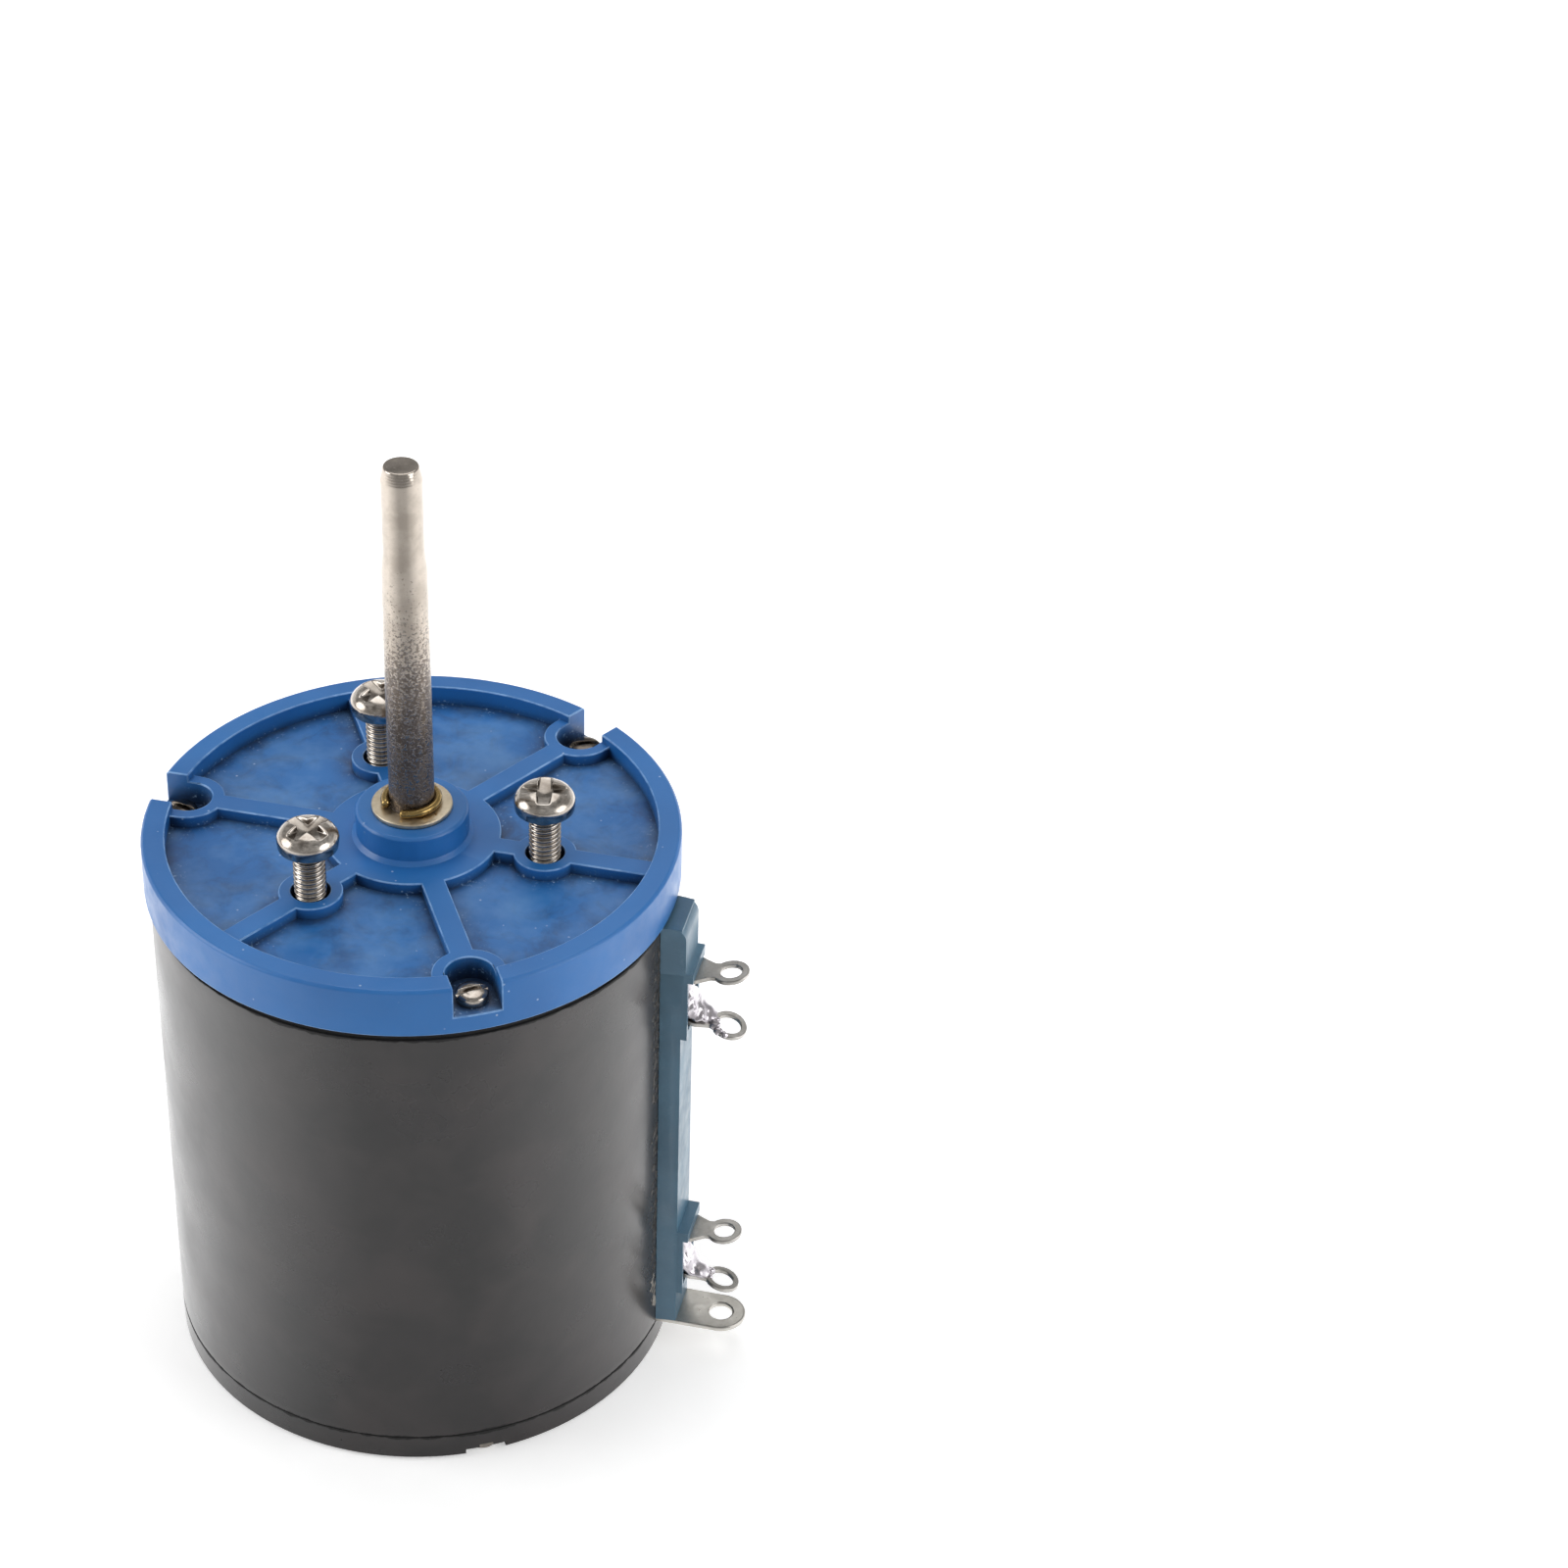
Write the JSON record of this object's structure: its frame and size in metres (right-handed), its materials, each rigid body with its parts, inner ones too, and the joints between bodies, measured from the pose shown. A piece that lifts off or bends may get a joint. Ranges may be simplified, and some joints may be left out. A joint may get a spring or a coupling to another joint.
{
  "type": "multiturn potentiometer",
  "caption": "Round panel-mounted wirewound potentiometer: long plain shaft, ribbed front cap, solder terminals on a side strip, and a carriage that the turning shaft drives along a helix.",
  "frame": {"origin": "on the shaft axis, at the rear face that the part stands on", "axes": "+Z along the shaft towards its free end, +X from the axis through the terminal strip"},
  "size_m": [0.0579, 0.05, 0.0966],
  "materials": {
    "cap_plastic": "moulded plastic, satin",
    "tube_plastic": "moulded phenolic, semi-gloss with fine orange peel",
    "label": "printed label, coated",
    "nickel_steel": "nickel plated",
    "brass": "bright brass",
    "shaft_steel": "turned steel, tarnished",
    "washer_nickel": "nickel plated, warm",
    "rotor_plastic": "moulded, matt",
    "carriage_plastic": "moulded acetal, matt",
    "spring_bronze": "rolled spring bronze",
    "resistance_wire": "close-wound alloy wire",
    "lead_copper": "tinned copper wire",
    "strip_plastic": "moulded plastic, satin",
    "tinned_brass": "tinned, satin",
    "solder": "solder, bright",
    "lug_tin": "tinned sheet, dull"
  },
  "bodies": {
    "housing": {"front_cap": "cap_plastic", "housing_tube": "tube_plastic", "rear_cover": "tube_plastic", "rating_label": "label", "mounting_screws": "nickel_steel", "mounting_inserts": "brass", "front_cap_screws": "nickel_steel", "rear_cover_screws": "nickel_steel", "stop_pins": "shaft_steel", "front_bearing_bush": "brass", "rear_bearing_bush": "brass", "shaft_washer": "washer_nickel", "thrust_washer": "washer_nickel", "resistance_element": "resistance_wire", "front_lead_wire": "lead_copper", "rear_lead_wire": "lead_copper", "terminal_strip": "strip_plastic", "front_terminal": "tinned_brass", "rear_terminal": "tinned_brass", "solder_joints": "solder", "wiper_terminal": "lug_tin", "collector_brush": "spring_bronze", "brush_rivet": "brass"},
    "rotor": {"shaft": "shaft_steel", "retaining_ring": "brass", "rotor_front_plate": "rotor_plastic", "rotor_rear_plate": "rotor_plastic", "hub_set_screws": "shaft_steel", "guide_rod": "shaft_steel", "collector_rod": "brass", "slip_ring": "brass"},
    "carriage": {"wiper_carriage": "carriage_plastic", "collector_contact": "spring_bronze", "wiper_contact": "spring_bronze", "contact_screw": "nickel_steel"}
  },
  "joints": [
    {"name": "shaft_turn", "type": "hinge", "parent": "housing", "child": "rotor", "pos_m": [0, 0, 0], "axis": [0, 0, -1], "range_deg": [0, 3600]},
    {"name": "carriage_travel", "type": "slide", "parent": "rotor", "child": "carriage", "axis": [0, 0, -1], "range_m": [0, 0.03]}
  ],
  "couplings": [
    {"joint": "shaft_turn", "follows": "carriage_travel", "rad_per_m": 2094.4}
  ]
}
